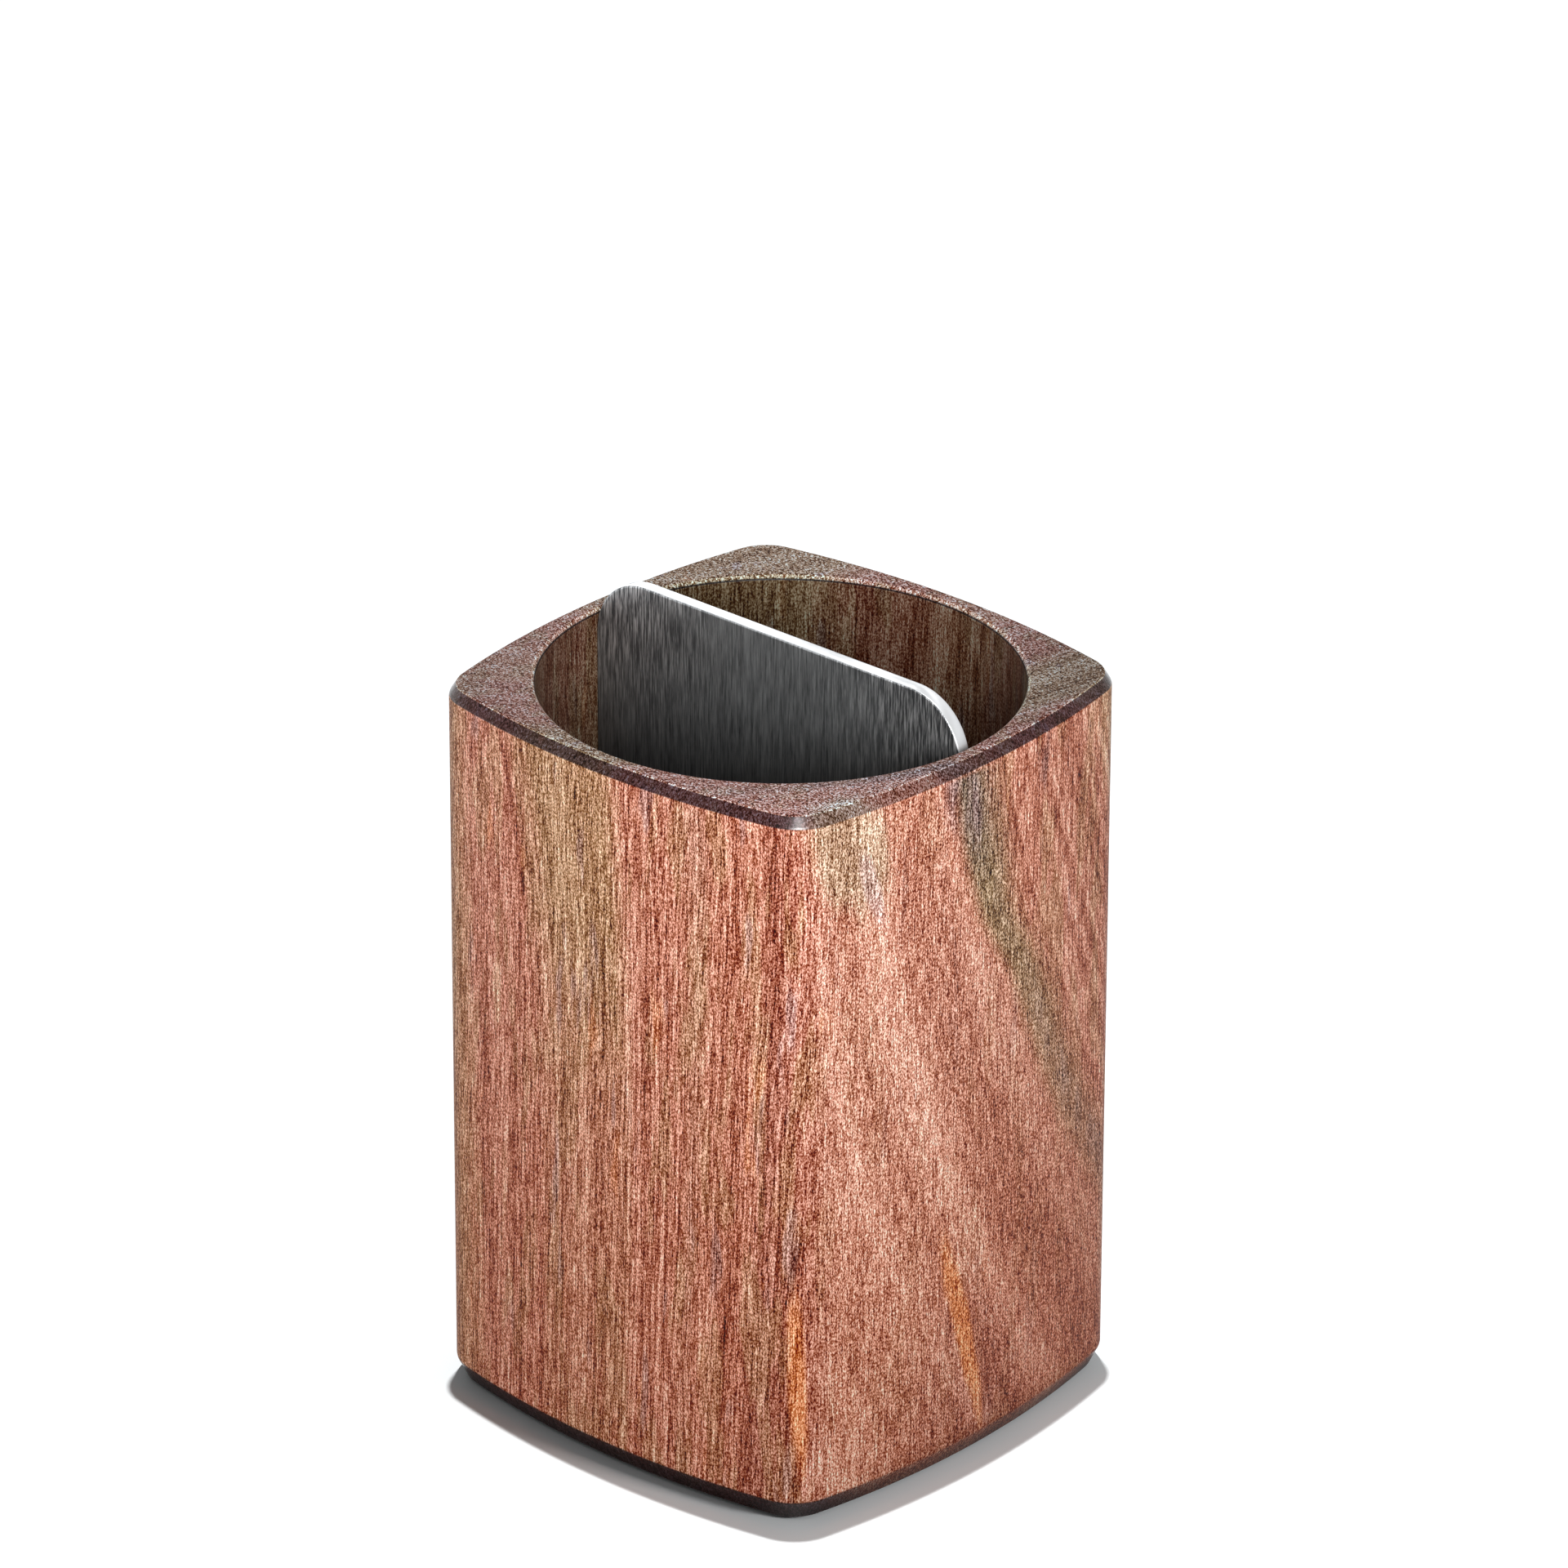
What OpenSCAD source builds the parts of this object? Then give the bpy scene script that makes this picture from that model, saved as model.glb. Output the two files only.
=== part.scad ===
// Pen cup: a bowed square block of walnut with a round blind bore, and a steel plate, as wide as the
// bore, that drops in and divides the inside in two. The round wall keeps the plate on a diameter, so it
// stands by itself. The cup stands on a pad at z = 0, the bore's axis is the z axis, and the plate lies
// in the xz plane.

/* [Cup] */
// Width across the middle of two opposite sides
cup_w = 70; // [56:0.5:110]
// Height of the wood, from its underside to its rim
cup_h = 101; // [60:0.5:150]
// Radius of the outward bow of each side
side_bow_r = 129; // [100:1:400]
// Radius of the four upright corners
corner_r = 6.6; // [4:0.1:12]
// Wall left where the bore comes nearest to a side
wall_t = 3.2; // [3:0.05:8]
// Wood left below the bore
floor_t = 12; // [5:0.5:25]

/* [Eased edges] */
// How far the slope round the top edge reaches down the side
top_slope_h = 1.6; // [0.5:0.1:4]
// How far the slope round the top edge reaches in over the top
top_slope_w = 1; // [0.4:0.1:1.4]
// How far the slope round the bottom edge reaches up the side
bottom_slope_h = 2.9; // [0.5:0.1:5]
// How far the slope round the bottom edge reaches in under the cup
bottom_slope_w = 1.4; // [0.5:0.1:2.5]
// Width and depth of the eased edge at the mouth of the bore
mouth_ease = 0.6; // [0.2:0.1:0.8]

/* [Divider] */
// Thickness of the plate
divider_t = 2; // [1:0.1:4]
// How far the plate stands above the rim
divider_rise = 5.8; // [0:0.1:20]
// Radius of the plate's two top corners
divider_corner_r = 8.5; // [3:0.5:20]
// Gap between each upright edge of the plate and the bore's wall
divider_play = 0.3; // [0.1:0.05:0.8]

/* [Foot pad] */
// Depth of the recess that the pad is let into
pad_recess = 1; // [0.5:0.1:3]
// How far the pad stands out below the wood
pad_proud = 0.5; // [0.3:0.1:3]
// Distance from the side of the cup to the round pad, at the middle of a side
pad_inset = 6; // [4:0.5:14]
// Gap between the pad's edge and the wall of its recess
pad_play = 0.15; // [0.05:0.05:0.4]

/* [Hidden] */

walnut = "#9c6a52";
brushed_steel = "#8d9093";
dark_rubber = "#26262a";

// How far a cut runs past the face that it opens
cut_past = 1;

half_w = cup_w / 2;
bore_r = half_w - wall_t;
floor_z = pad_proud + floor_t;
rim_z = pad_proud + cup_h;
divider_w = 2 * (bore_r - divider_play);
divider_h = rim_z + divider_rise - floor_z;
pad_r = half_w - pad_inset;

$fn = 128;

// The plan of the cup is a bowed square. Each bow turns about a point beyond the opposite side of the axis,
// this far from the axis.
bow_offset = side_bow_r - half_w;
// Distance along x and y of a corner's centre, where the corner's arc touches both bows
corner_centre = (sqrt(2 * pow(side_bow_r - corner_r, 2) - pow(bow_offset, 2)) - bow_offset) / 2;
// Angle from the middle of a side to its end, seen from the bow's centre
bow_turn = atan2(corner_centre, corner_centre + bow_offset);
// Round core of the block, which stays clear of the sloped edges
core_r = half_w - 2 * max(top_slope_w, bottom_slope_w);

// Upright section of a side or a corner, from radius r_in to r_out, with both sloped edges
function edge_section(r_in, r_out) = [
    [r_in, 0],
    [r_out - bottom_slope_w, 0],
    [r_out, bottom_slope_h],
    [r_out, cup_h - top_slope_h],
    [r_out - top_slope_w, cup_h],
    [r_in, cup_h]
];

// Upright block with the plan of a bowed square: a core, four sides that reach halfway into it and
// four corners
module bowed_block() {
    cylinder(r = core_r, h = cup_h);
    for (quarter = [0 : 3])
        rotate([0, 0, 90 * quarter]) {
            translate([-bow_offset, 0, 0])
                rotate([0, 0, -bow_turn])
                    rotate_extrude(angle = 2 * bow_turn)
                        polygon(edge_section(bow_offset + core_r / 2, side_bow_r));
            translate([corner_centre, corner_centre, 0])
                rotate([0, 0, bow_turn])
                    rotate_extrude(angle = 90 - 2 * bow_turn)
                        polygon(edge_section(0, corner_r));
        }
}

// The round hollow, which widens at the eased mouth
module bore_cut() {
    rotate_extrude()
        polygon([
            [0, floor_z],
            [bore_r, floor_z],
            [bore_r, rim_z - mouth_ease],
            [bore_r + mouth_ease + cut_past, rim_z + cut_past],
            [0, rim_z + cut_past]
        ]);
}

// Recess below the cup, wider than the pad by the play
module pad_cut() {
    translate([0, 0, pad_proud - cut_past])
        cylinder(r = pad_r + pad_play, h = pad_recess + cut_past);
}

module cup_body() {
    color(walnut)
        difference() {
            translate([0, 0, pad_proud])
                bowed_block();
            bore_cut();
            pad_cut();
        }
}

// Plate with its two top corners rounded, standing on the floor of the bore
module divider() {
    shoulder_x = divider_w / 2 - divider_corner_r;
    shoulder_z = divider_h - divider_corner_r;
    color(brushed_steel)
        translate([0, divider_t / 2, floor_z])
            rotate([90, 0, 0])
                linear_extrude(divider_t) {
                    translate([-divider_w / 2, 0])
                        square([divider_w, shoulder_z]);
                    translate([-shoulder_x, 0])
                        square([2 * shoulder_x, divider_h]);
                    for (side = [-1, 1])
                        translate([side * shoulder_x, shoulder_z])
                            circle(divider_corner_r);
                }
}

module foot_pad() {
    color(dark_rubber)
        cylinder(r = pad_r, h = pad_recess + pad_proud);
}

cup_body();
divider();
foot_pad();
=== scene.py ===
"""Pen cup: a bowed walnut cup with a lift-out steel divider, dressed round its CAD frame."""

import math

import bpy
import numpy as np
from mathutils import Matrix, Vector


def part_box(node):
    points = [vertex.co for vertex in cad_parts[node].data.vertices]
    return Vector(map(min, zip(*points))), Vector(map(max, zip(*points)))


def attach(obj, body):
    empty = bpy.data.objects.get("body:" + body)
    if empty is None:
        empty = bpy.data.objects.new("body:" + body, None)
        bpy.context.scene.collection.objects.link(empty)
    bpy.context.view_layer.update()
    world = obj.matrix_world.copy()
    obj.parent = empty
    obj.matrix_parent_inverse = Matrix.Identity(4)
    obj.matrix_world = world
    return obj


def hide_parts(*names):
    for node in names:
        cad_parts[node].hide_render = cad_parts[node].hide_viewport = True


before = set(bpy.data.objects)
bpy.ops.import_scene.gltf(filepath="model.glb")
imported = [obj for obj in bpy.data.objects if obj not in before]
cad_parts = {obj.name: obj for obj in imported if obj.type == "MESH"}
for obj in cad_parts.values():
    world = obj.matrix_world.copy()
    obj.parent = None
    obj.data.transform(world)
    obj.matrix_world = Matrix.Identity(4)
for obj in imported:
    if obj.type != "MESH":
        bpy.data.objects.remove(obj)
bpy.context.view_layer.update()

# Shapes are worked out in millimetres, in the CAD frame
MM = 0.001


def box_mm(node):
    """Lowest and highest corner of a CAD node, in millimetres."""
    low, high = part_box(node)
    return np.array(low) / MM, np.array(high) / MM


CUP_LOW, CUP_HIGH = box_mm("cup_body")
PLATE_LOW, PLATE_HIGH = box_mm("divider")
PAD_LOW, PAD_HIGH = box_mm("foot_pad")

# The cup: its sides bow out, its corners are round, and its edges slope
HALF_W = CUP_HIGH[0]
WOOD_Z = CUP_LOW[2]
RIM_Z = CUP_HIGH[2]
SIDE_BOW_R = 129.0
CORNER_R = 6.6
WALL = 3.2
BORE_R = HALF_W - WALL
FLOOR_Z = PLATE_LOW[2]
TOP_SLOPE_W, TOP_SLOPE_H = 1.0, 1.6
FOOT_SLOPE_W, FOOT_SLOPE_H = 1.4, 2.9
MOUTH_EASE = 0.6
PAD_PLAY = 0.15
RECESS_R = PAD_HIGH[0] + PAD_PLAY
RECESS_Z = PAD_HIGH[2]
BOW_OFFSET = SIDE_BOW_R - HALF_W
CORNER_AT = (math.sqrt(2 * (SIDE_BOW_R - CORNER_R) ** 2 - BOW_OFFSET**2) - BOW_OFFSET) / 2
BOW_TURN = math.atan2(CORNER_AT, CORNER_AT + BOW_OFFSET)
QUARTER = math.pi / 2

# The plate's corners
PLATE_TOP_R = 8.5
PLATE_FOOT_R = 0.6

# How far each edge is eased, in the order of the profiles below
RECESS_EASE = [0.15, 0.15]
OUTSIDE_EASE = [0.25, 0.35, 0.3, 0.2]
INSIDE_EASE = [0.2, 0.25, 0.5]
PLATE_EASE = [0.25, 0.25]
PAD_EASE = [0.35, 0.15]

# Flat strip beside an eased edge, radius of the caps, strip round the pad, and the lead of an easing
STRIP = 0.5
CAP_R = 1.0
PAD_STRIP = 1.0
EASE_LEAD = 0.4


def eased(points, reach, steps=5):
    """Profile with its inner points eased. Each point P between A and B gives way to the curve
    (1-t)^2 A' + 2t(1-t) P + t^2 B', where A' and B' lie the reach away from P towards A and B. A point a
    little before A' and one a little after B' keep the stretches between the curves straight."""
    points = np.array(points, float)
    middle = points[1:-1]
    reach = np.array(reach, float).reshape(-1, 1)
    back = points[:-2] - middle
    ahead = points[2:] - middle
    back /= np.linalg.norm(back, axis=1, keepdims=True)
    ahead /= np.linalg.norm(ahead, axis=1, keepdims=True)
    t = np.linspace(0, 1, steps).reshape(1, -1, 1)
    start = (middle + back * reach)[:, None]
    end = (middle + ahead * reach)[:, None]
    curve = (1 - t) ** 2 * start + 2 * t * (1 - t) * middle[:, None] + t**2 * end
    before = start + EASE_LEAD * (back * reach)[:, None]
    after = end + EASE_LEAD * (ahead * reach)[:, None]
    eased_part = np.concatenate([before, curve, after], axis=1).reshape(-1, points.shape[1])
    return np.concatenate([points[:1], eased_part, points[-1:]])


def side_angles(along_side=72, round_corner=30):
    """Outward angles round the plan: even steps along each side, and even steps round each corner."""
    half_corner = np.linspace(BOW_TURN, QUARTER / 2, round_corner // 2, endpoint=False)
    side = np.linspace(-BOW_TURN, BOW_TURN, along_side, endpoint=False)
    quarter = np.concatenate([-half_corner[:0:-1], side, half_corner, [QUARTER / 2]])
    return np.concatenate([quarter + QUARTER * k for k in range(4)])


def bowed_plan(angle, inset):
    """Point of the bowed square whose outward normal has the given angle. It lies its radius less the inset
    from a centre: on a side the bow's centre, beyond the axis, and on a corner the corner's own centre."""
    side = np.round(angle / QUARTER)
    turn = angle - side * QUARTER
    on_side = np.abs(turn) <= BOW_TURN + 1e-9
    centre_x = np.where(on_side, -BOW_OFFSET, CORNER_AT)
    centre_y = np.where(on_side, 0.0, np.sign(turn) * CORNER_AT)
    radius = np.where(on_side, SIDE_BOW_R, CORNER_R) - inset
    x = centre_x + radius * np.cos(turn)
    y = centre_y + radius * np.sin(turn)
    c = np.cos(side * QUARTER)
    s = np.sin(side * QUARTER)
    return x * c - y * s, x * s + y * c


def circles(profile, angle):
    """Circles of a profile's radii at its heights, with a point at each angle."""
    radius, height = profile[:, :1], profile[:, 1:]
    ones = np.ones((1, len(angle)))
    return np.stack([radius * np.cos(angle), radius * np.sin(angle), height * ones], axis=-1)


def cup_rings():
    """Rings of the cup, from the ceiling of the recess below, over the outside and the rim, down the bore to
    its floor. A ring outside is the bowed plan at an inset, a ring inside a circle, and a circle's points lie
    in line with the plan's, so the flat rim runs straight from one to the other."""
    angle = side_angles()
    plan_x, plan_y = bowed_plan(angle, 0.0)
    polar = np.arctan2(plan_y, plan_x)
    below = eased(
        [(CAP_R, RECESS_Z), (RECESS_R, RECESS_Z), (RECESS_R, WOOD_Z), (RECESS_R + STRIP, WOOD_Z)],
        RECESS_EASE,
    )
    outside = eased(
        [
            (FOOT_SLOPE_W + STRIP, WOOD_Z),
            (FOOT_SLOPE_W, WOOD_Z),
            (0.0, WOOD_Z + FOOT_SLOPE_H),
            (0.0, RIM_Z - TOP_SLOPE_H),
            (TOP_SLOPE_W, RIM_Z),
            (TOP_SLOPE_W + STRIP, RIM_Z),
        ],
        OUTSIDE_EASE,
    )
    inside = eased(
        [
            (BORE_R + MOUTH_EASE + STRIP, RIM_Z),
            (BORE_R + MOUTH_EASE, RIM_Z),
            (BORE_R, RIM_Z - MOUTH_EASE),
            (BORE_R, FLOOR_Z),
            (CAP_R, FLOOR_Z),
        ],
        INSIDE_EASE,
    )
    inset, height = outside[:, :1], outside[:, 1:]
    x, y = bowed_plan(angle[None, :], inset)
    bowed = np.stack([x, y, height * np.ones_like(x)], axis=-1)
    return np.concatenate([circles(below, polar), bowed, circles(inside, polar)])


def plate_rings(steps=24):
    """Rings of the plate, from its back face to its front. A ring is a rectangle with round corners, whose
    point at an outward angle lies its corner's radius less an inset from that corner's centre, and the
    inset follows the eased edge."""
    fan = np.linspace(0, QUARTER, steps)
    angle = np.concatenate([fan + QUARTER * k for k in range(4)])
    right = np.repeat([1, -1, -1, 1], steps)
    top = np.repeat([1, 1, 0, 0], steps)
    radius = np.where(top == 1, PLATE_TOP_R, PLATE_FOOT_R)
    centre_x = right * (PLATE_HIGH[0] - radius)
    centre_z = np.where(top == 1, PLATE_HIGH[2] - radius, PLATE_LOW[2] + radius)
    back, front = PLATE_HIGH[1], PLATE_LOW[1]
    edge = eased([(STRIP, back), (0.0, back), (0.0, front), (STRIP, front)], PLATE_EASE)
    inset, depth = edge[:, :1], edge[:, 1:]
    reach = radius - inset
    x = centre_x + reach * np.cos(angle)
    z = centre_z + reach * np.sin(angle)
    return np.stack([x, depth * np.ones_like(x), z], axis=-1)


def pad_rings(steps=192):
    """Rings of the round pad, from its underside to its top: circles of an eased edge."""
    angle = np.linspace(0, 2 * math.pi, steps, endpoint=False)
    r, low, high = PAD_HIGH[0], PAD_LOW[2], PAD_HIGH[2]
    edge = eased([(r - PAD_STRIP, low), (r, low), (r, high), (r - PAD_STRIP, high)], PAD_EASE)
    return circles(edge, angle)


def skin(name, rings, material, body, node):
    """Closed piece through rings of points: quads from each ring to the next, and a flat cap on the first
    and the last. It stands for a CAD node and keeps, as outward, the way that each point faces."""
    rows, columns, _ = rings.shape
    corner = np.arange(rows * columns).reshape(rows, columns)
    beside = np.roll(corner, -1, axis=1)
    quads = np.stack([corner[:-1], beside[:-1], beside[1:], corner[1:]], axis=-1).reshape(-1, 4)
    faces = quads.tolist() + [corner[0, ::-1].tolist(), corner[-1].tolist()]
    mesh = bpy.data.meshes.new(name)
    mesh.from_pydata(rings.reshape(-1, 3) * MM, [], faces)
    mesh.shade_smooth()
    normal = np.empty(rows * columns * 3)
    mesh.vertex_normals.foreach_get("vector", normal)
    outward = mesh.attributes.new("outward", "FLOAT_VECTOR", "POINT")
    outward.data.foreach_set("vector", normal)
    mesh.materials.append(material)
    piece = bpy.data.objects.new(name, mesh)
    bpy.context.scene.collection.objects.link(piece)
    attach(piece, body)
    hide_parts(node)
    return piece


def rgb(r, g, b):
    """A colour for a node's socket."""
    return (r, g, b, 1.0)


class Finish:
    """The nodes of a material or of the surroundings, with one call for each kind of step that they use."""

    def __init__(self, owner):
        owner.use_nodes = True
        self.owner = owner
        self.tree = owner.node_tree
        self.tree.nodes.clear()

    def node(self, kind, settings=(), inputs=()):
        """A node with its settings, and its inputs either linked or set."""
        made = self.tree.nodes.new(kind)
        for key, value in dict(settings).items():
            setattr(made, key, value)
        for key, value in dict(inputs).items():
            if isinstance(value, bpy.types.NodeSocket):
                self.tree.links.new(value, made.inputs[key])
            else:
                made.inputs[key].default_value = value
        return made

    def math(self, operation, a, b=0.0, c=0.0):
        """One step of arithmetic."""
        return self.node("ShaderNodeMath", {"operation": operation}, {0: a, 1: b, 2: c}).outputs[0]

    def times_plus(self, a, b, c):
        """a times b, plus c."""
        return self.math("MULTIPLY_ADD", a, b, c)

    def product(self, first, *others):
        """All the values multiplied."""
        for other in others:
            first = self.math("MULTIPLY", first, other)
        return first

    def vector_math(self, operation, a, b=(0.0, 0.0, 0.0)):
        """One step of arithmetic on vectors, with the results as Vector and Value."""
        return self.node("ShaderNodeVectorMath", {"operation": operation}, {0: a, 1: b}).outputs

    def parts(self, vector):
        """The three parts of a vector."""
        return list(self.node("ShaderNodeSeparateXYZ", (), {0: vector}).outputs)

    def joined(self, x, y, z=0.0):
        """A vector from its three parts."""
        return self.node("ShaderNodeCombineXYZ", (), {0: x, 1: y, 2: z}).outputs[0]

    def sizes(self, vector):
        """The three parts of a vector, all positive."""
        return self.parts(self.vector_math("ABSOLUTE", vector)["Vector"])

    def place(self):
        """The piece's own coordinates, in millimetres."""
        here = self.node("ShaderNodeTexCoord").outputs["Object"]
        return self.node("ShaderNodeMapping", (), {"Vector": here, "Scale": (1 / MM,) * 3}).outputs[0]

    def facing(self):
        """How far the surface faces along each axis, either way, from 0 to 1."""
        outward = self.node("ShaderNodeAttribute", {"attribute_name": "outward"}).outputs["Vector"]
        return self.sizes(outward)

    def stretched(self, vector, per_mm):
        """A place, with as many pattern steps in a millimetre along each axis as given."""
        return self.vector_math("MULTIPLY", vector, per_mm)["Vector"]

    def noise_node(self, vector, per_mm, detail, rough):
        """Cloudy pattern's node."""
        place = self.stretched(vector, per_mm)
        inputs = {"Vector": place, "Scale": 1.0, "Detail": detail, "Roughness": rough}
        return self.node("ShaderNodeTexNoise", (), inputs)

    def noise(self, vector, per_mm, detail=2.0, rough=0.5):
        """Cloudy pattern from 0 to 1."""
        return self.noise_node(vector, per_mm, detail, rough).outputs[0]

    def three_noises(self, vector, per_mm, detail=2.0, rough=0.5):
        """Three cloudy patterns of one kind."""
        return self.parts(self.noise_node(vector, per_mm, detail, rough).outputs["Color"])

    def bands(self, along, per_mm, detail=2.0, rough=0.5):
        """Cloudy pattern along one measure."""
        inputs = {"W": along, "Scale": per_mm, "Detail": detail, "Roughness": rough}
        return self.node("ShaderNodeTexNoise", {"noise_dimensions": "1D"}, inputs).outputs[0]

    def cells(self, vector, per_mm):
        """Distance to the nearest of many scattered points."""
        inputs = {"Vector": self.stretched(vector, per_mm), "Scale": 1.0}
        return self.node("ShaderNodeTexVoronoi", (), inputs).outputs["Distance"]

    def step(self, value, low, high, to_low=0.0, to_high=1.0):
        """Smooth change from one level to another as a value goes from low to high."""
        settings = {"interpolation_type": "SMOOTHSTEP"}
        inputs = {0: value, 1: low, 2: high, 3: to_low, 4: to_high}
        return self.node("ShaderNodeMapRange", settings, inputs).outputs[0]

    def fall(self, value, low, high):
        """Smooth fall from 1 to 0 as a value goes from low to high."""
        return self.step(value, low, high, 1.0, 0.0)

    def between(self, value, start, end):
        """1 between two soft limits, each given as a pair, and 0 outside them."""
        return self.product(self.step(value, *start), self.fall(value, *end))

    def rise(self, value, low, high):
        """Even rise from 0 to 1 as a value goes from low to high."""
        return self.node("ShaderNodeMapRange", (), {0: value, 1: low, 2: high}).outputs[0]

    def sharp(self, pattern, reach):
        """A pattern round 0.5 as one from -1 to 1, which gets there the reach away from 0.5."""
        return self.step(pattern, 0.5 - reach, 0.5 + reach, -1.0, 1.0)

    def mix(self, share, a, b, blend="MIX"):
        """Colour a with a share of colour b."""
        settings = {"data_type": "RGBA", "blend_type": blend}
        return self.node("ShaderNodeMix", settings, {0: share, 6: a, 7: b}).outputs[2]

    def tinted(self, colour, tint):
        """A colour times a tint."""
        return self.mix(1.0, colour, tint, "MULTIPLY")

    def toned(self, colour, tone):
        """A colour made lighter or darker by a tone, which is added to its square root alike in red, green
        and blue."""
        root = self.node("ShaderNodeGamma", (), {"Color": colour, "Gamma": 0.5}).outputs[0]
        settings = {"data_type": "RGBA", "blend_type": "ADD", "clamp_result": True}
        moved = self.node("ShaderNodeMix", settings, {0: 1.0, 6: root, 7: tone}).outputs[2]
        return self.node("ShaderNodeGamma", (), {"Color": moved, "Gamma": 2.0}).outputs[0]

    def ramp(self, value, stops):
        """Colour for a value, from stops in rising order."""
        made = self.node("ShaderNodeValToRGB", (), {0: value})
        elements = made.color_ramp.elements
        elements[0].position = stops[0][0]
        elements[1].position = stops[-1][0]
        for at, _ in stops[1:-1]:
            elements.new(at)
        for element, (_, colour) in zip(elements, stops):
            element.color = rgb(*colour)
        return made.outputs[0]

    def surface(self, inputs, height, height_mm):
        """The finished surface, with its relief."""
        relief = {"Strength": 1.0, "Distance": height_mm * MM, "Height": height}
        bump = self.node("ShaderNodeBump", (), relief).outputs[0]
        shader = self.node("ShaderNodeBsdfPrincipled", (), {**inputs, "Normal": bump})
        self.node("ShaderNodeOutputMaterial", (), {"Surface": shader.outputs[0]})
        return self.owner

    def seen_or_mirrored(self):
        """1 on rays from the camera and on those that a mirror or a clear piece sends on, else 0."""
        path = self.node("ShaderNodeLightPath").outputs
        straight = self.math("MAXIMUM", path["Is Camera Ray"], path["Is Glossy Ray"])
        return self.math("MAXIMUM", straight, path["Is Transmission Ray"])


# Browns of the wood, as light from 0 to 1
RED_BROWN = (0.460, 0.170, 0.103)
WARM_BROWN = (0.472, 0.174, 0.107)
DEEP_BROWN = (0.350, 0.113, 0.067)
SAP_BROWN = (0.505, 0.216, 0.127)
PALE_BROWN = (0.578, 0.256, 0.174)
TAN_BROWN = (0.405, 0.212, 0.106)
PALE_TAN = (0.415, 0.275, 0.172)
OLIVE = (0.225, 0.128, 0.050)
DARK_OLIVE = (0.140, 0.085, 0.044)
PURPLE = (0.150, 0.078, 0.076)
MAUVE = (0.320, 0.185, 0.170)
ORANGE = (0.640, 0.230, 0.085)
BRIGHT_ORANGE = (0.740, 0.290, 0.120)

# Tints for those browns: the cut ends' own colour, and painted shade and light on the slopes, the eased
# mouth, the bore, the foot and the lower sides
UNCUT = (1.0, 1.0, 1.0)
# Painted shade on the top and foot slopes
SLOPE_SHADE_TINT = (0.10, 0.10, 0.15)
# Painted light on the top slope right of the front corner
SLOPE_LIGHT_TINT = (0.42, 0.45, 0.52)
# Painted highlight along the eased mouth of the bore
MOUTH_HIGHLIGHT_TINT = (0.60, 0.88, 1.10)
END_TINT = (0.42, 0.52, 0.66)
# Painted shade on the wall of the bore
BORE_SHADE_TINT = (0.22, 0.26, 0.25)
# Painted shade towards the foot, in place of the sheen that is paler higher up
LOW_SHADE_TINT = (1.00, 0.86, 0.76)
# Painted light on the foot slope at the right of the foot
LIT_FOOT_TINT = (0.80, 0.75, 0.70)
# Painted contact shade where the wood meets the pad
BLACK = (0.0, 0.0, 0.0)

# The tree's heart line passes outside the cup and leans, and the rings climb along it
HEART = (-130.0, 30.4, 0.0)
LEAN_X, LEAN_Y = 0.623, 0.088
RING_RISE = 0.469

# How far the rings sway, how many times as far the grain sways, and the lean of the grain
SWAY = 0.8
GRAIN_SWAY = 2.0
GRAIN_LEAN = 0.03

# Colours by ring, from the heart outwards
RING_COLOURS = [
    (85.0, TAN_BROWN),
    (97.0, TAN_BROWN),
    (103.0, RED_BROWN),
    (111.0, RED_BROWN),
    (118.0, SAP_BROWN),
    (124.0, SAP_BROWN),
    (125.0, WARM_BROWN),
    (135.0, WARM_BROWN),
    (139.0, TAN_BROWN),
    (147.0, TAN_BROWN),
    (149.5, RED_BROWN),
    (154.0, WARM_BROWN),
    (159.0, RED_BROWN),
    (164.0, WARM_BROWN),
    (166.0, DEEP_BROWN),
    (172.0, DEEP_BROWN),
]
FIRST_RING, LAST_RING = RING_COLOURS[0][0], RING_COLOURS[-1][0]

# Rings where a colour or a pattern starts, gets full and ends
TAN_START, TAN_END = (135.0, 138.0), (147.0, 149.5)
OLIVE_FULL, OLIVE_END = 157.8, (158.3, 159.5)
PURPLE_START, PURPLE_END = (157.0, 157.7), (157.8, 158.8)
PALE_START, PALE_FULL = (159.0, 160.0), (162.0, 166.0)
SMOOTH_START = (155.0, 158.0)
LINES_START = (128.0, 140.0)

# Ring where the olive band starts, low down and near the top
OLIVE_LOW, OLIVE_HIGH = 156.0, 154.8

# Rings that the band is bent by low down, and that its purple line is widened by near the top
BAND_SHIFT = 0.8
PURPLE_SHIFT = -1.2

# Heights over which the colours change
LOW_SHADE_Z = (0.0, 75.0)
TAN_FADE_Z = (45.0, 82.0)
BAND_BEND_Z = (66.0, 80.0)
BAND_WIDER_Z = (72.0, 92.0)
BAND_DARK_Z = (76.0, 98.0)
BAND_STRONG_Z = (20.0, 90.0)
PURPLE_WIDER_Z = (82.0, 96.0)
PURPLE_LOW_Z, PURPLE_HIGH_Z = (56.0, 66.0), (86.0, 94.0)
TOP_Z = (99.0, 100.0)
SLOPE_LIGHT_Z = (97.0, 99.0)
LIT_FOOT_Z = (4.0, 6.0)
CONTACT_SHADE_Z = (1.0, 4.0)

# Places across the cup over which they change: in x, in y, in their sum, or in x less y
PAST_CORNER_SUM = (0.0, 8.0)
BAND_STRONG_Y = (-36.0, -12.0)
SLOPE_LIGHT_X, SLOPE_LIGHT_Y = (29.5, 31.5), (-16.0, 6.0)
LIT_FOOT_X, LIT_FOOT_Y = (30.0, 33.0), (-30.0, -8.0)
TOP_LEFT_SUM, TOP_RIGHT_SUM = (-60.0, -20.0), (20.0, 60.0)
TOP_FRONT_LESS = (42.0, 60.0)

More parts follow.
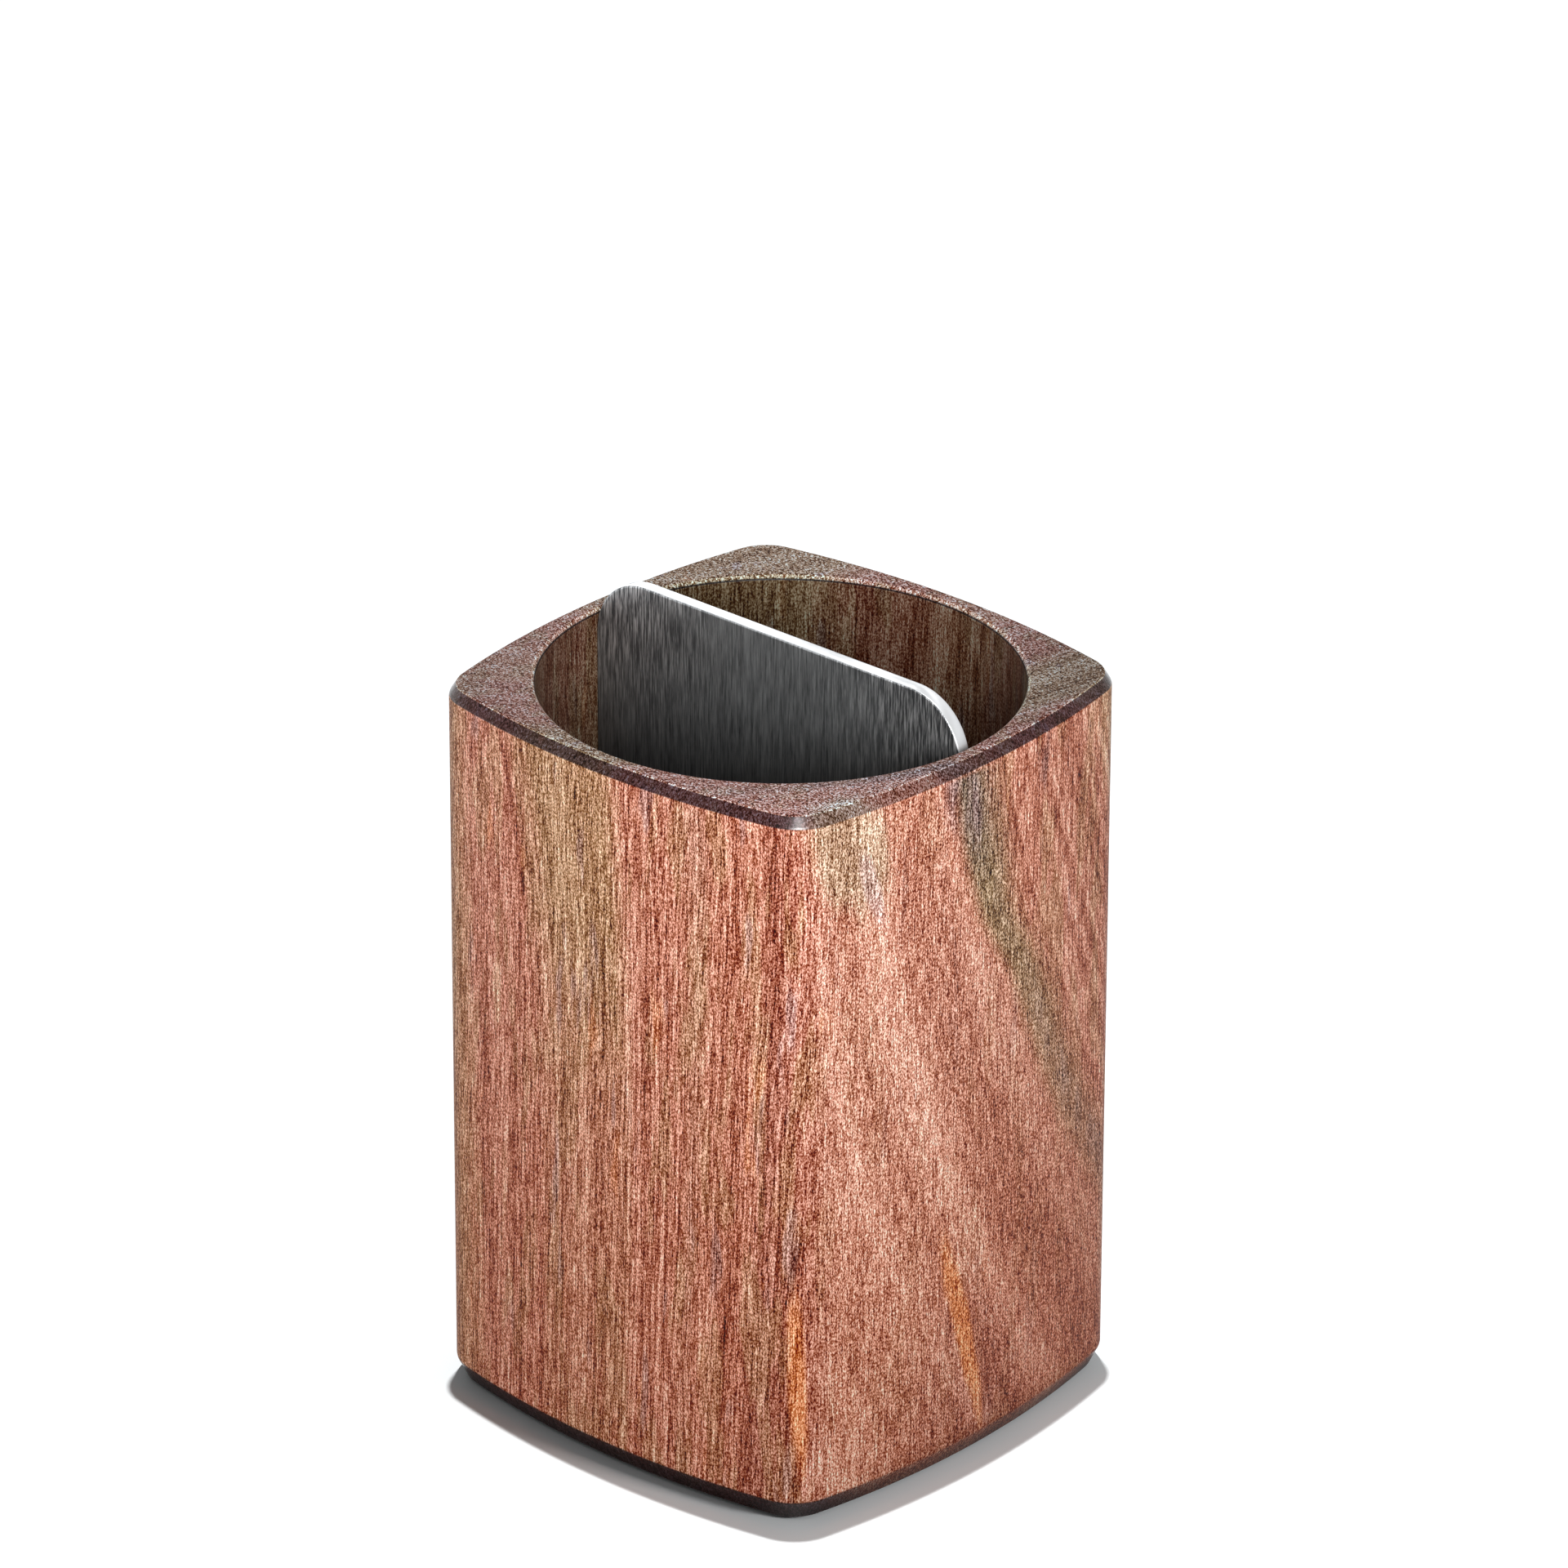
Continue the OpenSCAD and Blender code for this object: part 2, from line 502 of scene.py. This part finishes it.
# The same in the smaller of x and y, both taken as positive, and in the distance from the axis
GLOSSY_CORNER = (26.0, 31.0)
BORE_EDGE = (BORE_R + 0.05, BORE_R + 0.4)

# The pale wood and its painted sheen fade to the right and low down, by y less a share of the height
PALE_FADE_SHARE = 0.5
PALE_FADE = (-30.0, 0.0)

# How far a surface faces up or down where a tint or a pattern starts, or starts and ends
SLOPE_FACING = (0.2, 0.4), (0.6, 0.8)
SLOPE_LIGHT_FACING = (0.2, 0.36), (0.56, 0.7)
MOTTLE_FACING = (0.3, 0.9)
WALL_FACING = (0.5, 0.9)
END_FACING = (0.7, 0.95)
TOP_FACING = (0.8, 0.95)

# Tint by how far the surface faces up or down: the sides, the slopes with painted shade, the eased mouth with
# a painted highlight, and the cut ends
FACING_TINTS = [
    (0.00, UNCUT),
    (0.20, UNCUT),
    (0.36, SLOPE_SHADE_TINT),
    (0.56, SLOPE_SHADE_TINT),
    (0.66, MOUTH_HIGHLIGHT_TINT),
    (0.78, MOUTH_HIGHLIGHT_TINT),
    (0.88, END_TINT),
    (1.00, END_TINT),
]

# Streaks of other colours: where their pattern shows them first and fully, their share and colour
STREAKS = [
    (0.50, 0.62, 0.5, TAN_BROWN),
    (0.62, 0.70, 0.5, MAUVE),
    (0.66, 0.74, 0.4, ORANGE),
]

# Patches of other colours: middle, lean of y with height, half size, share and colour
PATCHES = [
    ((-30.0, -31.5, 50.0), 0.0, (5.5, 5.5, 200.0), 0.6, TAN_BROWN),
    ((30.2, -30.4, 21.5), -0.05, (1.4, 1.4, 17.0), 0.85, BRIGHT_ORANGE),
    ((34.9, -3.4, 21.0), -0.25, (2.0, 2.0, 15.0), 0.95, BRIGHT_ORANGE),
    ((32.6, -23.5, 96.0), -0.3, (4.5, 7.0, 12.0), 0.8, PALE_TAN),
    ((33.4, -20.0, 89.0), -0.3, (1.6, 1.6, 7.0), 0.6, MAUVE),
]

# Where a patch fades, in half sizes from its middle, and how ragged that edge is
PATCH_EDGE = (0.5, 1.1)
PATCH_RAGGED = 0.6

# Steps of each grain pattern in a millimetre, across the grain twice and along it, or along the rings
SWAY_GRAIN = (0.03, 0.03, 0.018)
STREAK_GRAIN = (0.3, 0.3, 0.05)
THREAD_GRAIN = (1.8, 1.8, 0.02)
VEIN_GRAIN = (2.2, 2.2, 0.014)
PORE_GRAIN = (3.4, 3.4, 0.2)
FIBRE_GRAIN = (4.4, 4.4, 0.25)
SPECK_GRAIN = (5.6, 5.6, 3.0)
MOTTLE_GRAIN = (3.2, 3.2, 3.2)
LINE_RINGS = 1.9
SEASON_RINGS = 0.3

# How much each grain pattern lightens or darkens the wood
LINE_TONE = 0.095
THREAD_TONE = 0.085
SEASON_TONE, SEASON_PAST_CORNER = 0.055, 0.03
VEIN_TONE = -0.12
PORE_TONE = -0.065
FIBRE_TONE = 0.18
SPECK_TONE = 0.265
MOTTLE_TONE = 0.25

# Change of the streaks, the lines, the veins and the specks in the smooth pale wood
SMOOTH_STREAKS = -0.65
SMOOTH_LINES = -0.55
SMOOTH_VEINS = -0.6
SMOOTH_SPECK = 0.045

# Roughness of the oiled wood, and what the fibres, the cut ends and the slopes add to it
WOOD_ROUGH = 0.52
FIBRE_ROUGH, END_ROUGH, SLOPE_ROUGH = 0.06, 0.25, -0.2

# Its sheen, its polish at the corners, the height of a pore against a fibre, and its relief in millimetres
WOOD_SHEEN = 0.1
POLISH_ROUGH = 0.18
PORE_HEIGHT = -0.6
WOOD_RELIEF = 0.006


class Walnut(Finish):
    """Oiled walnut as a solid. A ring's measure is the distance from the leaning heart line plus a share of
    the height, and it sets the broad colours and long lines. Threads, veins, fibres and pores are patterns
    drawn out upright, so they show as lines on the sides and as specks on the cut ends, which face up or
    down."""

    def __init__(self, material):
        super().__init__(material)
        self.at = self.place()
        self.x, self.y, self.z = self.parts(self.at)
        self.x_plus_y = self.math("ADD", self.x, self.y)
        self.past_corner = self.step(self.x_plus_y, *PAST_CORNER_SUM)
        self.ends = self.facing()[2]
        self.grow()

    def grow(self):
        """Rings and grain, which both sway a little through the block, and the patterns that more than one
        step uses. The banded measure is the ring's, bent where the olive band bends."""
        sway = self.three_noises(self.at, SWAY_GRAIN)
        drift_x = self.times_plus(sway[0], 2 * SWAY, -SWAY)
        drift_y = self.times_plus(sway[1], 2 * SWAY, -SWAY)
        ring_x = self.math("ADD", self.times_plus(self.z, -LEAN_X, self.x), drift_x)
        ring_y = self.math("ADD", self.times_plus(self.z, -LEAN_Y, self.y), drift_y)
        radius = self.vector_math("DISTANCE", self.joined(ring_x, ring_y), HEART)["Value"]
        self.ring = self.times_plus(self.z, RING_RISE, radius)
        self.banded = self.times_plus(self.fall(self.z, *BAND_BEND_Z), BAND_SHIFT, self.ring)
        grain_x = self.times_plus(self.z, -GRAIN_LEAN, self.times_plus(drift_x, GRAIN_SWAY, self.x))
        grain_y = self.times_plus(drift_y, GRAIN_SWAY, self.y)
        self.grain = self.joined(grain_x, grain_y, self.z)
        self.smooth = self.product(self.past_corner, self.step(self.banded, *SMOOTH_START))
        self.streaks = self.three_noises(self.grain, STREAK_GRAIN, 2.0, 0.6)
        self.fibre = self.sharp(self.noise(self.grain, FIBRE_GRAIN, 1.0, 0.6), 0.2)
        self.pore = self.fall(self.cells(self.grain, PORE_GRAIN), 0.12, 0.26)

    def less_smooth(self, change):
        """1 on most of the wood, and 1 plus the change on the smooth pale wood."""
        return self.times_plus(self.smooth, change, 1.0)

    def ring_colour(self):
        """Colour by ring, with the tan rings redder lower down."""
        span = LAST_RING - FIRST_RING
        stops = [((ring - FIRST_RING) / span, brown) for ring, brown in RING_COLOURS]
        colour = self.ramp(self.rise(self.ring, FIRST_RING, LAST_RING), stops)
        tan = self.between(self.ring, TAN_START, TAN_END)
        redder = self.product(tan, self.step(self.z, *TAN_FADE_Z, 0.8, 0.0))
        return self.mix(redder, colour, rgb(*RED_BROWN))

    def with_pale_wood_and_sheen(self, colour):
        """Paler wood, partly painted sheen, from the front corner to the olive band, which fades to the right
        and low down.
        """
        full = self.step(self.banded, *PALE_FULL, 0.75, 1.0)
        pale = self.product(self.step(self.banded, *PALE_START), full)
        low_right = self.times_plus(self.z, -PALE_FADE_SHARE, self.y)
        pale = self.product(self.past_corner, pale, self.step(low_right, *PALE_FADE, 1.0, 0.1))
        return self.mix(pale, colour, rgb(*PALE_BROWN))

    def with_streaks(self, colour):
        """Streaks of tan, mauve and orange, fainter in the smooth wood."""
        kept = self.less_smooth(SMOOTH_STREAKS)
        for pattern, (first, full, share, brown) in zip(self.streaks, STREAKS):
            shown = self.product(self.step(pattern, first, full, 0.0, share), kept)
            colour = self.mix(shown, colour, rgb(*brown))
        return colour

    def with_patches(self, colour):
        """Patches with ragged edges. A patch is an ellipsoid, sheared so that its y leans with the height.
        Its measure is the distance from its middle, with each axis divided by its half size."""
        ragged = self.times_plus(self.streaks[0], 2 * PATCH_RAGGED, -PATCH_RAGGED)
        for middle, lean, half, share, brown in PATCHES:
            x, y, z = middle
            upright = self.joined(self.x, self.times_plus(self.z, -lean, self.y), self.z)
            away = self.vector_math("SUBTRACT", upright, (x, y - lean * z, z))["Vector"]
            far = self.vector_math("LENGTH", self.stretched(away, tuple(1 / size for size in half)))["Value"]
            shown = self.step(self.math("ADD", far, ragged), *PATCH_EDGE, share, 0.0)
            colour = self.mix(shown, colour, rgb(*brown))
        return colour

    def with_olive_band(self, colour):
        """Olive band, wider near the top and strongest high on the right face, with a broken purple line in
        it that shows most near the top and low down."""
        strong = self.product(
            self.step(self.y, *BAND_STRONG_Y, 0.25, 1.0),
            self.step(self.z, *BAND_STRONG_Z, 0.4, 1.0),
            self.step(self.z, *TOP_Z, 1.0, 0.5),
        )
        olive_start = self.step(self.z, *BAND_WIDER_Z, OLIVE_LOW, OLIVE_HIGH)
        olive = self.between(self.banded, (olive_start, OLIVE_FULL), OLIVE_END)
        hue = self.mix(self.step(self.z, *BAND_DARK_Z), rgb(*OLIVE), rgb(*DARK_OLIVE))
        colour = self.mix(self.product(olive, strong), colour, hue)
        wider = self.times_plus(self.step(self.z, *PURPLE_WIDER_Z), PURPLE_SHIFT, self.banded)
        high = self.step(self.z, *PURPLE_HIGH_Z, 0.2, 1.0)
        low = self.step(self.z, *PURPLE_LOW_Z, 1.0, 0.2)
        purple = self.product(
            self.step(self.banded, *PURPLE_START),
            self.fall(wider, *PURPLE_END),
            self.step(self.streaks[1], 0.4, 0.58, 0.15, 0.75),
            self.math("MAXIMUM", high, low),
            strong,
        )
        return self.mix(purple, colour, rgb(*PURPLE))

    def with_low_shade(self, colour):
        """Painted shade: warmer, darker colour towards the foot, in place of the paler sheen higher up."""
        return self.mix(self.fall(self.z, *LOW_SHADE_Z), colour, self.tinted(colour, rgb(*LOW_SHADE_TINT)))

    def grain_tone(self):
        """How much lighter or darker the wood is: the sum of its patterns, each times its tone. The pale wood
        is smoother, the long lines are fainter near the heart, and the mottle is on the cut ends alone."""
        calm = self.less_smooth(SMOOTH_LINES)
        lined = self.product(self.step(self.ring, *LINES_START, 0.5, 1.0), calm)
        lines = self.sharp(self.bands(self.ring, LINE_RINGS, 4.0, 0.8), 0.16)
        seasons = self.sharp(self.bands(self.ring, SEASON_RINGS, 1.0), 0.25)
        thread = self.sharp(self.noise(self.grain, THREAD_GRAIN, 2.0, 0.6), 0.2)
        speck = self.sharp(self.noise(self.grain, SPECK_GRAIN, 1.0, 0.6), 0.2)
        vein = self.step(self.noise(self.grain, VEIN_GRAIN, 2.0, 0.6), 0.58, 0.66)
        mottle = self.sharp(self.noise(self.at, MOTTLE_GRAIN, 2.0, 0.7), 0.08)
        layers = [
            (self.product(lines, lined), LINE_TONE),
            (self.product(thread, calm), THREAD_TONE),
            (seasons, self.times_plus(self.past_corner, SEASON_PAST_CORNER, SEASON_TONE)),
            (self.product(vein, self.less_smooth(SMOOTH_VEINS)), VEIN_TONE),
            (self.pore, PORE_TONE),
            (self.fibre, FIBRE_TONE),
            (speck, self.times_plus(self.smooth, SMOOTH_SPECK, SPECK_TONE)),
            (self.product(mottle, self.step(self.ends, *MOTTLE_FACING)), MOTTLE_TONE),
        ]
        tone = 0.0
        for pattern, depth in layers:
            tone = self.times_plus(pattern, depth, tone)
        return tone

    def cut_and_painted_light_tint(self):
        """Tint of the cuts, with painted light and shade. The cut end on top is lighter at the front corner
        and darker at the left and right ones, the top slope's painted shade gives way to painted light right
        of the front corner, painted light shows on the right of the foot slope, and painted contact shade
        darkens the wood where it meets the pad."""
        tint = self.ramp(self.ends, FACING_TINTS)
        top = self.product(
            self.step(self.math("SUBTRACT", self.x, self.y), *TOP_FRONT_LESS, 1.0, 1.3),
            self.step(self.x_plus_y, *TOP_RIGHT_SUM, 1.0, 0.7),
            self.step(self.x_plus_y, *TOP_LEFT_SUM, 0.78, 1.0),
        )
        tint = self.mix(self.step(self.ends, *TOP_FACING), tint, self.tinted(tint, top))
        # Painted light on the foot slope at the right of the foot
        lit_foot = self.product(
            self.fall(self.z, *LIT_FOOT_Z),
            self.step(self.y, *LIT_FOOT_Y),
            self.step(self.x, *LIT_FOOT_X),
        )
        tint = self.mix(lit_foot, tint, rgb(*LIT_FOOT_TINT))
        # Painted light on the top slope right of the front corner, in place of its painted shade
        slope_light = self.product(
            self.step(self.z, *SLOPE_LIGHT_Z),
            self.step(self.y, *SLOPE_LIGHT_Y, 0.7, 0.0),
            self.step(self.x, *SLOPE_LIGHT_X),
            self.between(self.ends, *SLOPE_LIGHT_FACING),
        )
        tint = self.mix(slope_light, tint, rgb(*SLOPE_LIGHT_TINT))
        # Painted contact shade: the wood goes towards black near its underside, where it meets the pad
        return self.mix(self.step(self.z, *CONTACT_SHADE_Z, 0.6, 0.0), tint, rgb(*BLACK))

    def with_painted_bore_shade(self, colour):
        """Painted shade on the wall of the bore, but not on its floor."""
        from_axis = self.vector_math("LENGTH", self.stretched(self.at, (1.0, 1.0, 0.0)))["Value"]
        in_bore = self.product(self.fall(from_axis, *BORE_EDGE), self.fall(self.ends, *WALL_FACING))
        return self.mix(in_bore, colour, self.tinted(colour, rgb(*BORE_SHADE_TINT)))

    def finished(self):
        """The oiled surface: rougher on the cut ends, smoother on the slopes, and glossy on the slopes at the
        corners, where hands polish it."""
        colour = self.ring_colour()
        colour = self.with_pale_wood_and_sheen(colour)
        colour = self.with_streaks(colour)
        colour = self.with_patches(colour)
        colour = self.with_olive_band(colour)
        colour = self.with_low_shade(colour)
        colour = self.toned(colour, self.grain_tone())
        colour = self.tinted(colour, self.cut_and_painted_light_tint())
        colour = self.with_painted_bore_shade(colour)
        on_slope = self.between(self.ends, *SLOPE_FACING)
        out_x, out_y, _ = self.sizes(self.at)
        at_corner = self.step(self.math("MINIMUM", out_x, out_y), *GLOSSY_CORNER)
        rough = self.times_plus(self.fibre, FIBRE_ROUGH, WOOD_ROUGH)
        rough = self.times_plus(self.step(self.ends, *END_FACING), END_ROUGH, rough)
        rough = self.times_plus(on_slope, SLOPE_ROUGH, rough)
        inputs = {
            "Base Color": colour,
            "Roughness": rough,
            "Specular IOR Level": WOOD_SHEEN,
            "Coat Weight": self.product(on_slope, at_corner),
            "Coat Roughness": POLISH_ROUGH,
        }
        height = self.times_plus(self.pore, PORE_HEIGHT, self.fibre)
        return self.surface(inputs, height, WOOD_RELIEF)


def walnut():
    """Oiled walnut."""
    return Walnut(bpy.data.materials.new("walnut")).finished()


# Steel: steps of its patterns in a millimetre, its dark and light ends, where it changes, and its relief
SCRATCH_GRAIN = (4.0, 4.0, 0.2)
BRUSH_GRAIN = (0.9, 0.9, 0.03)
CLOUD_GRAIN = (0.08, 0.08, 0.05)
STEEL_DARK, STEEL_LIGHT = (0.05, 0.055, 0.06), (0.50, 0.52, 0.53)
GLINT_DARK, GLINT_LIGHT = (0.08, 0.085, 0.09), (0.72, 0.73, 0.74)
EDGE_DARK, EDGE_LIGHT = (0.30, 0.31, 0.32), (0.62, 0.63, 0.64)
GLINT_X, GLINT_Z = (4.0, 28.0), (84.0, 106.0)
STEEL_SHADE_Z = (70.0, 107.0)
EDGE_FACING = (0.3, 0.8)
STEEL_RELIEF = 0.004


def steel():
    """Brushed steel: short upright scratches in tone and sheen, painted shade that darkens it with depth,
    painted glints on the scratches near the two upper corners, a faint cloud of handling marks, and edges
    that are polished bright."""
    f = Finish(bpy.data.materials.new("brushed_steel"))
    place = f.place()
    along, _, height = f.parts(place)
    scratch = f.noise(place, SCRATCH_GRAIN, 3.0, 0.7)
    brush = f.noise(place, BRUSH_GRAIN, 2.0, 0.6)
    cloud = f.noise(place, CLOUD_GRAIN)
    shade = f.times_plus(brush, 0.25, f.product(scratch, 0.75))
    colour = f.ramp(shade, [(0.3, STEEL_DARK), (0.7, STEEL_LIGHT)])
    # Painted glints on the scratches near the two upper corners
    glint = f.ramp(scratch, [(0.46, GLINT_DARK), (0.64, GLINT_LIGHT)])
    near_corner = f.product(f.step(f.math("ABSOLUTE", along), *GLINT_X), f.step(height, *GLINT_Z))
    colour = f.mix(near_corner, colour, glint)
    # Painted shade: the steel darkens with depth
    colour = f.tinted(colour, f.step(height, *STEEL_SHADE_Z, 0.32, 1.0))
    polished = f.fall(f.facing()[1], *EDGE_FACING)
    edge = f.ramp(cloud, [(0.35, EDGE_DARK), (0.65, EDGE_LIGHT)])
    colour = f.mix(polished, colour, edge)
    rough = f.times_plus(scratch, 0.16, f.times_plus(cloud, 0.1, 0.3))
    inputs = {"Base Color": colour, "Metallic": 0.85, "Roughness": rough, "Anisotropic": 0.6}
    return f.surface(inputs, scratch, STEEL_RELIEF)


# Rubber: steps of its patterns in a millimetre, its relief and its two tones
GRIT_GRAIN = (3.0, 3.0, 3.0)
DUST_GRAIN = (0.12, 0.12, 0.12)
RUBBER_RELIEF = 0.06
RUBBER_DARK, RUBBER_DUSTY = (0.016, 0.016, 0.018), (0.034, 0.033, 0.034)


def rubber():
    """Dark rubber with a fine grain and a little dust."""
    f = Finish(bpy.data.materials.new("dark_rubber"))
    place = f.place()
    grit = f.noise(place, GRIT_GRAIN, 3.0, 0.6)
    dust = f.noise(place, DUST_GRAIN, 3.0)
    shade = f.times_plus(dust, 0.6, f.product(grit, 0.4))
    colour = f.ramp(shade, [(0.3, RUBBER_DARK), (0.7, RUBBER_DUSTY)])
    rough = f.times_plus(grit, 0.15, 0.7)
    return f.surface({"Base Color": colour, "Roughness": rough}, grit, RUBBER_RELIEF)


# The floor as it is seen and as it lights the cup, its reach in metres, and the surroundings' light
FLOOR_SEEN = (0.775, 0.80, 0.81)
FLOOR_BOUNCE = (0.08, 0.08, 0.08)
FLOOR_REACH = 6.0
SURROUND_LIGHT = 0.24


def floor():
    """Wide pale floor that looks white where it is lit and keeps the cup's shadow."""
    f = Finish(bpy.data.materials.new("floor"))
    pale = f.mix(f.seen_or_mirrored(), rgb(*FLOOR_BOUNCE), rgb(*FLOOR_SEEN))
    matt = f.node("ShaderNodeBsdfDiffuse", (), {"Color": pale})
    f.node("ShaderNodeOutputMaterial", (), {"Surface": matt.outputs[0]})
    mesh = bpy.data.meshes.new("floor")
    corners = np.array([(-1, -1, 0), (1, -1, 0), (1, 1, 0), (-1, 1, 0)]) * FLOOR_REACH
    mesh.from_pydata(corners, [], [(0, 1, 2, 3)])
    mesh.materials.append(f.owner)
    ground = bpy.data.objects.new("floor", mesh)
    bpy.context.scene.collection.objects.link(ground)
    return ground


def surroundings():
    """Even white surroundings: white where they are seen, and softer as light."""
    world = bpy.data.worlds.new("studio")
    bpy.context.scene.world = world
    f = Finish(world)
    level = f.times_plus(f.seen_or_mirrored(), 1 - SURROUND_LIGHT, SURROUND_LIGHT)
    glow = f.node("ShaderNodeBackground", (), {"Color": rgb(1, 1, 1), "Strength": level})
    f.node("ShaderNodeOutputWorld", (), {"Surface": glow.outputs[0]})


def lit_group(name, things):
    """The things that a lamp lights."""
    group = bpy.data.collections.new(name)
    for thing in things:
        group.objects.link(thing)
    return group


def softbox(name, lit, place, aim, size, power, spread=180):
    """Square lamp for a lit group, at a place in millimetres, that faces an aim and keeps its light within a
    spread in degrees."""
    lamp = bpy.data.lights.new(name, "AREA")
    lamp.size = size * MM
    lamp.spread = math.radians(spread)
    lamp.energy = power
    made = bpy.data.objects.new(name, lamp)
    away = Vector(place) - Vector(aim)
    turn = away.to_track_quat("Z", "Y").to_matrix().to_4x4()
    made.matrix_world = Matrix.Translation(Vector(place) * MM) @ turn
    made.light_linking.receiver_collection = lit
    bpy.context.scene.collection.objects.link(made)


def studio_lamps(pieces, ground):
    """Lamps for the pieces, and two for the floor alone, which give it a narrow shadow."""
    on_cup = lit_group("on_cup", pieces)
    on_floor = lit_group("on_floor", [ground])
    upper_half = (0, 0, 105)
    left_side = (-20, -20, 40)
    foot = (0, 0, 0)
    softbox("key", on_cup, (250, -230, 240), upper_half, size=200, power=0.205, spread=42)
    softbox("overhead", on_cup, (-45, 145, 4000), upper_half, size=30, power=72.0)
    softbox("behind", on_cup, (-420, 260, 300), upper_half, size=300, power=1.2)
    softbox("left_fill", on_cup, (-300, -170, 50), left_side, size=200, power=0.22)
    softbox("floor_overhead", on_floor, (-85, 95, 4000), foot, size=30, power=168.0)
    softbox("floor_side", on_floor, (542, 43, 254), foot, size=100, power=2.0)


def towards(turn, rise):
    """The way that an azimuth and an elevation point to."""
    return Vector((math.sin(turn) * math.cos(rise), -math.cos(turn) * math.cos(rise), math.sin(rise)))


def camera():
    """Camera at the photograph's place: it stands at an azimuth, an elevation and a distance from a point on
    the cup's axis, and turns by its own yaw, pitch and roll."""
    azimuth, elevation, distance = math.radians(41.843), math.radians(26.709), 1349.745
    yaw, pitch, roll = math.radians(-0.021), math.radians(25.285), math.radians(0.178)
    image_px, focal_px, sensor = 1920, 12582.152, 36.0
    axis_point = Vector((0, 0, 49.0))
    eye = axis_point + distance * towards(azimuth, elevation)
    back = towards(azimuth + yaw, pitch)
    level_right = Vector((math.cos(azimuth + yaw), math.sin(azimuth + yaw), 0))
    level_up = back.cross(level_right)
    right = math.cos(roll) * level_right + math.sin(roll) * level_up
    up = math.cos(roll) * level_up - math.sin(roll) * level_right
    lens = bpy.data.cameras.new("camera")
    lens.sensor_width = sensor
    lens.lens = focal_px / image_px * sensor
    made = bpy.data.objects.new("camera", lens)
    made.matrix_world = Matrix.Translation(eye * MM) @ Matrix((right, up, back)).transposed().to_4x4()
    bpy.context.scene.collection.objects.link(made)
    bpy.context.scene.camera = made


pieces = [
    skin("walnut_cup", cup_rings(), walnut(), "cup", "cup_body"),
    skin("steel_plate", plate_rings(), steel(), "divider", "divider"),
    skin("rubber_pad", pad_rings(), rubber(), "cup", "foot_pad"),
]
ground = floor()
surroundings()
studio_lamps(pieces, ground)
camera()

bpy.context.scene.view_settings.view_transform = "Standard"
